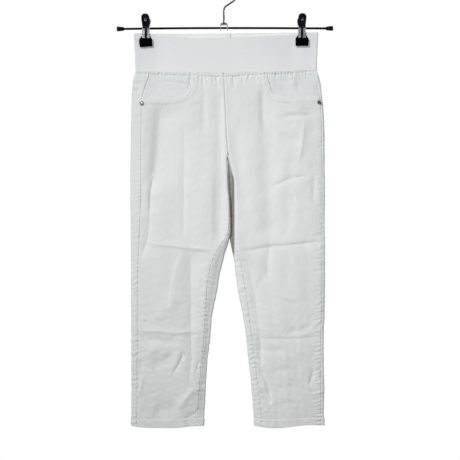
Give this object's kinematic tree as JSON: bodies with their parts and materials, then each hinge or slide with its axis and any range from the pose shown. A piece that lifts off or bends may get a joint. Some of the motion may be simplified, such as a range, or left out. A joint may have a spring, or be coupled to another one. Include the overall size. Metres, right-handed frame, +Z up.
{
  "type": "capri pants on a clip hanger",
  "caption": "White pull-on cropped trousers with a wide ribbed elastic waistband and scooped pockets, hung flat by sprung clips from a metal hanger with a wire hook",
  "frame": {"origin": "the inner top of the hanger's hook, where it rests on a rail", "axes": "+Z up, the front of the trousers faces -Y, +X is the wearer's left; the trousers hang flat in the XZ plane"},
  "size_m": [0.4396, 0.0334, 0.9196],
  "materials": {
    "cloth": "matte stretch cotton twill, white",
    "ribbed_elastic": "matte ribbed elastic knit, white",
    "tape": "woven tape, blank",
    "rivet_metal": "plated, polished rim",
    "painted_rod": "black, satin",
    "bright_steel": "bright drawn steel",
    "grip_plastic": "black dipped coating",
    "pad_rubber": "black, matte"
  },
  "bodies": {
    "root": {"front_left": "cloth", "front_right": "cloth", "back_left": "cloth", "back_right": "cloth", "pocket_facing_left": "cloth", "pocket_facing_right": "cloth", "waistband": "ribbed_elastic", "back_tab": "tape", "rivet_left": "rivet_metal", "rivet_right": "rivet_metal", "hanger_rod": "painted_rod", "hanger_hook": "bright_steel", "hook_bracket": "bright_steel", "clip_arm_front_left": "bright_steel", "clip_arm_front_right": "bright_steel", "clip_arm_back_left": "bright_steel", "clip_arm_back_right": "bright_steel", "clip_grip_front_left": "grip_plastic", "clip_grip_front_right": "grip_plastic", "clip_grip_back_left": "grip_plastic", "clip_grip_back_right": "grip_plastic", "rod_cap_left": "grip_plastic", "rod_cap_right": "grip_plastic", "clip_pad_front_left": "pad_rubber", "clip_pad_front_right": "pad_rubber", "clip_pad_back_left": "pad_rubber", "clip_pad_back_right": "pad_rubber"}
  },
  "joints": []
}
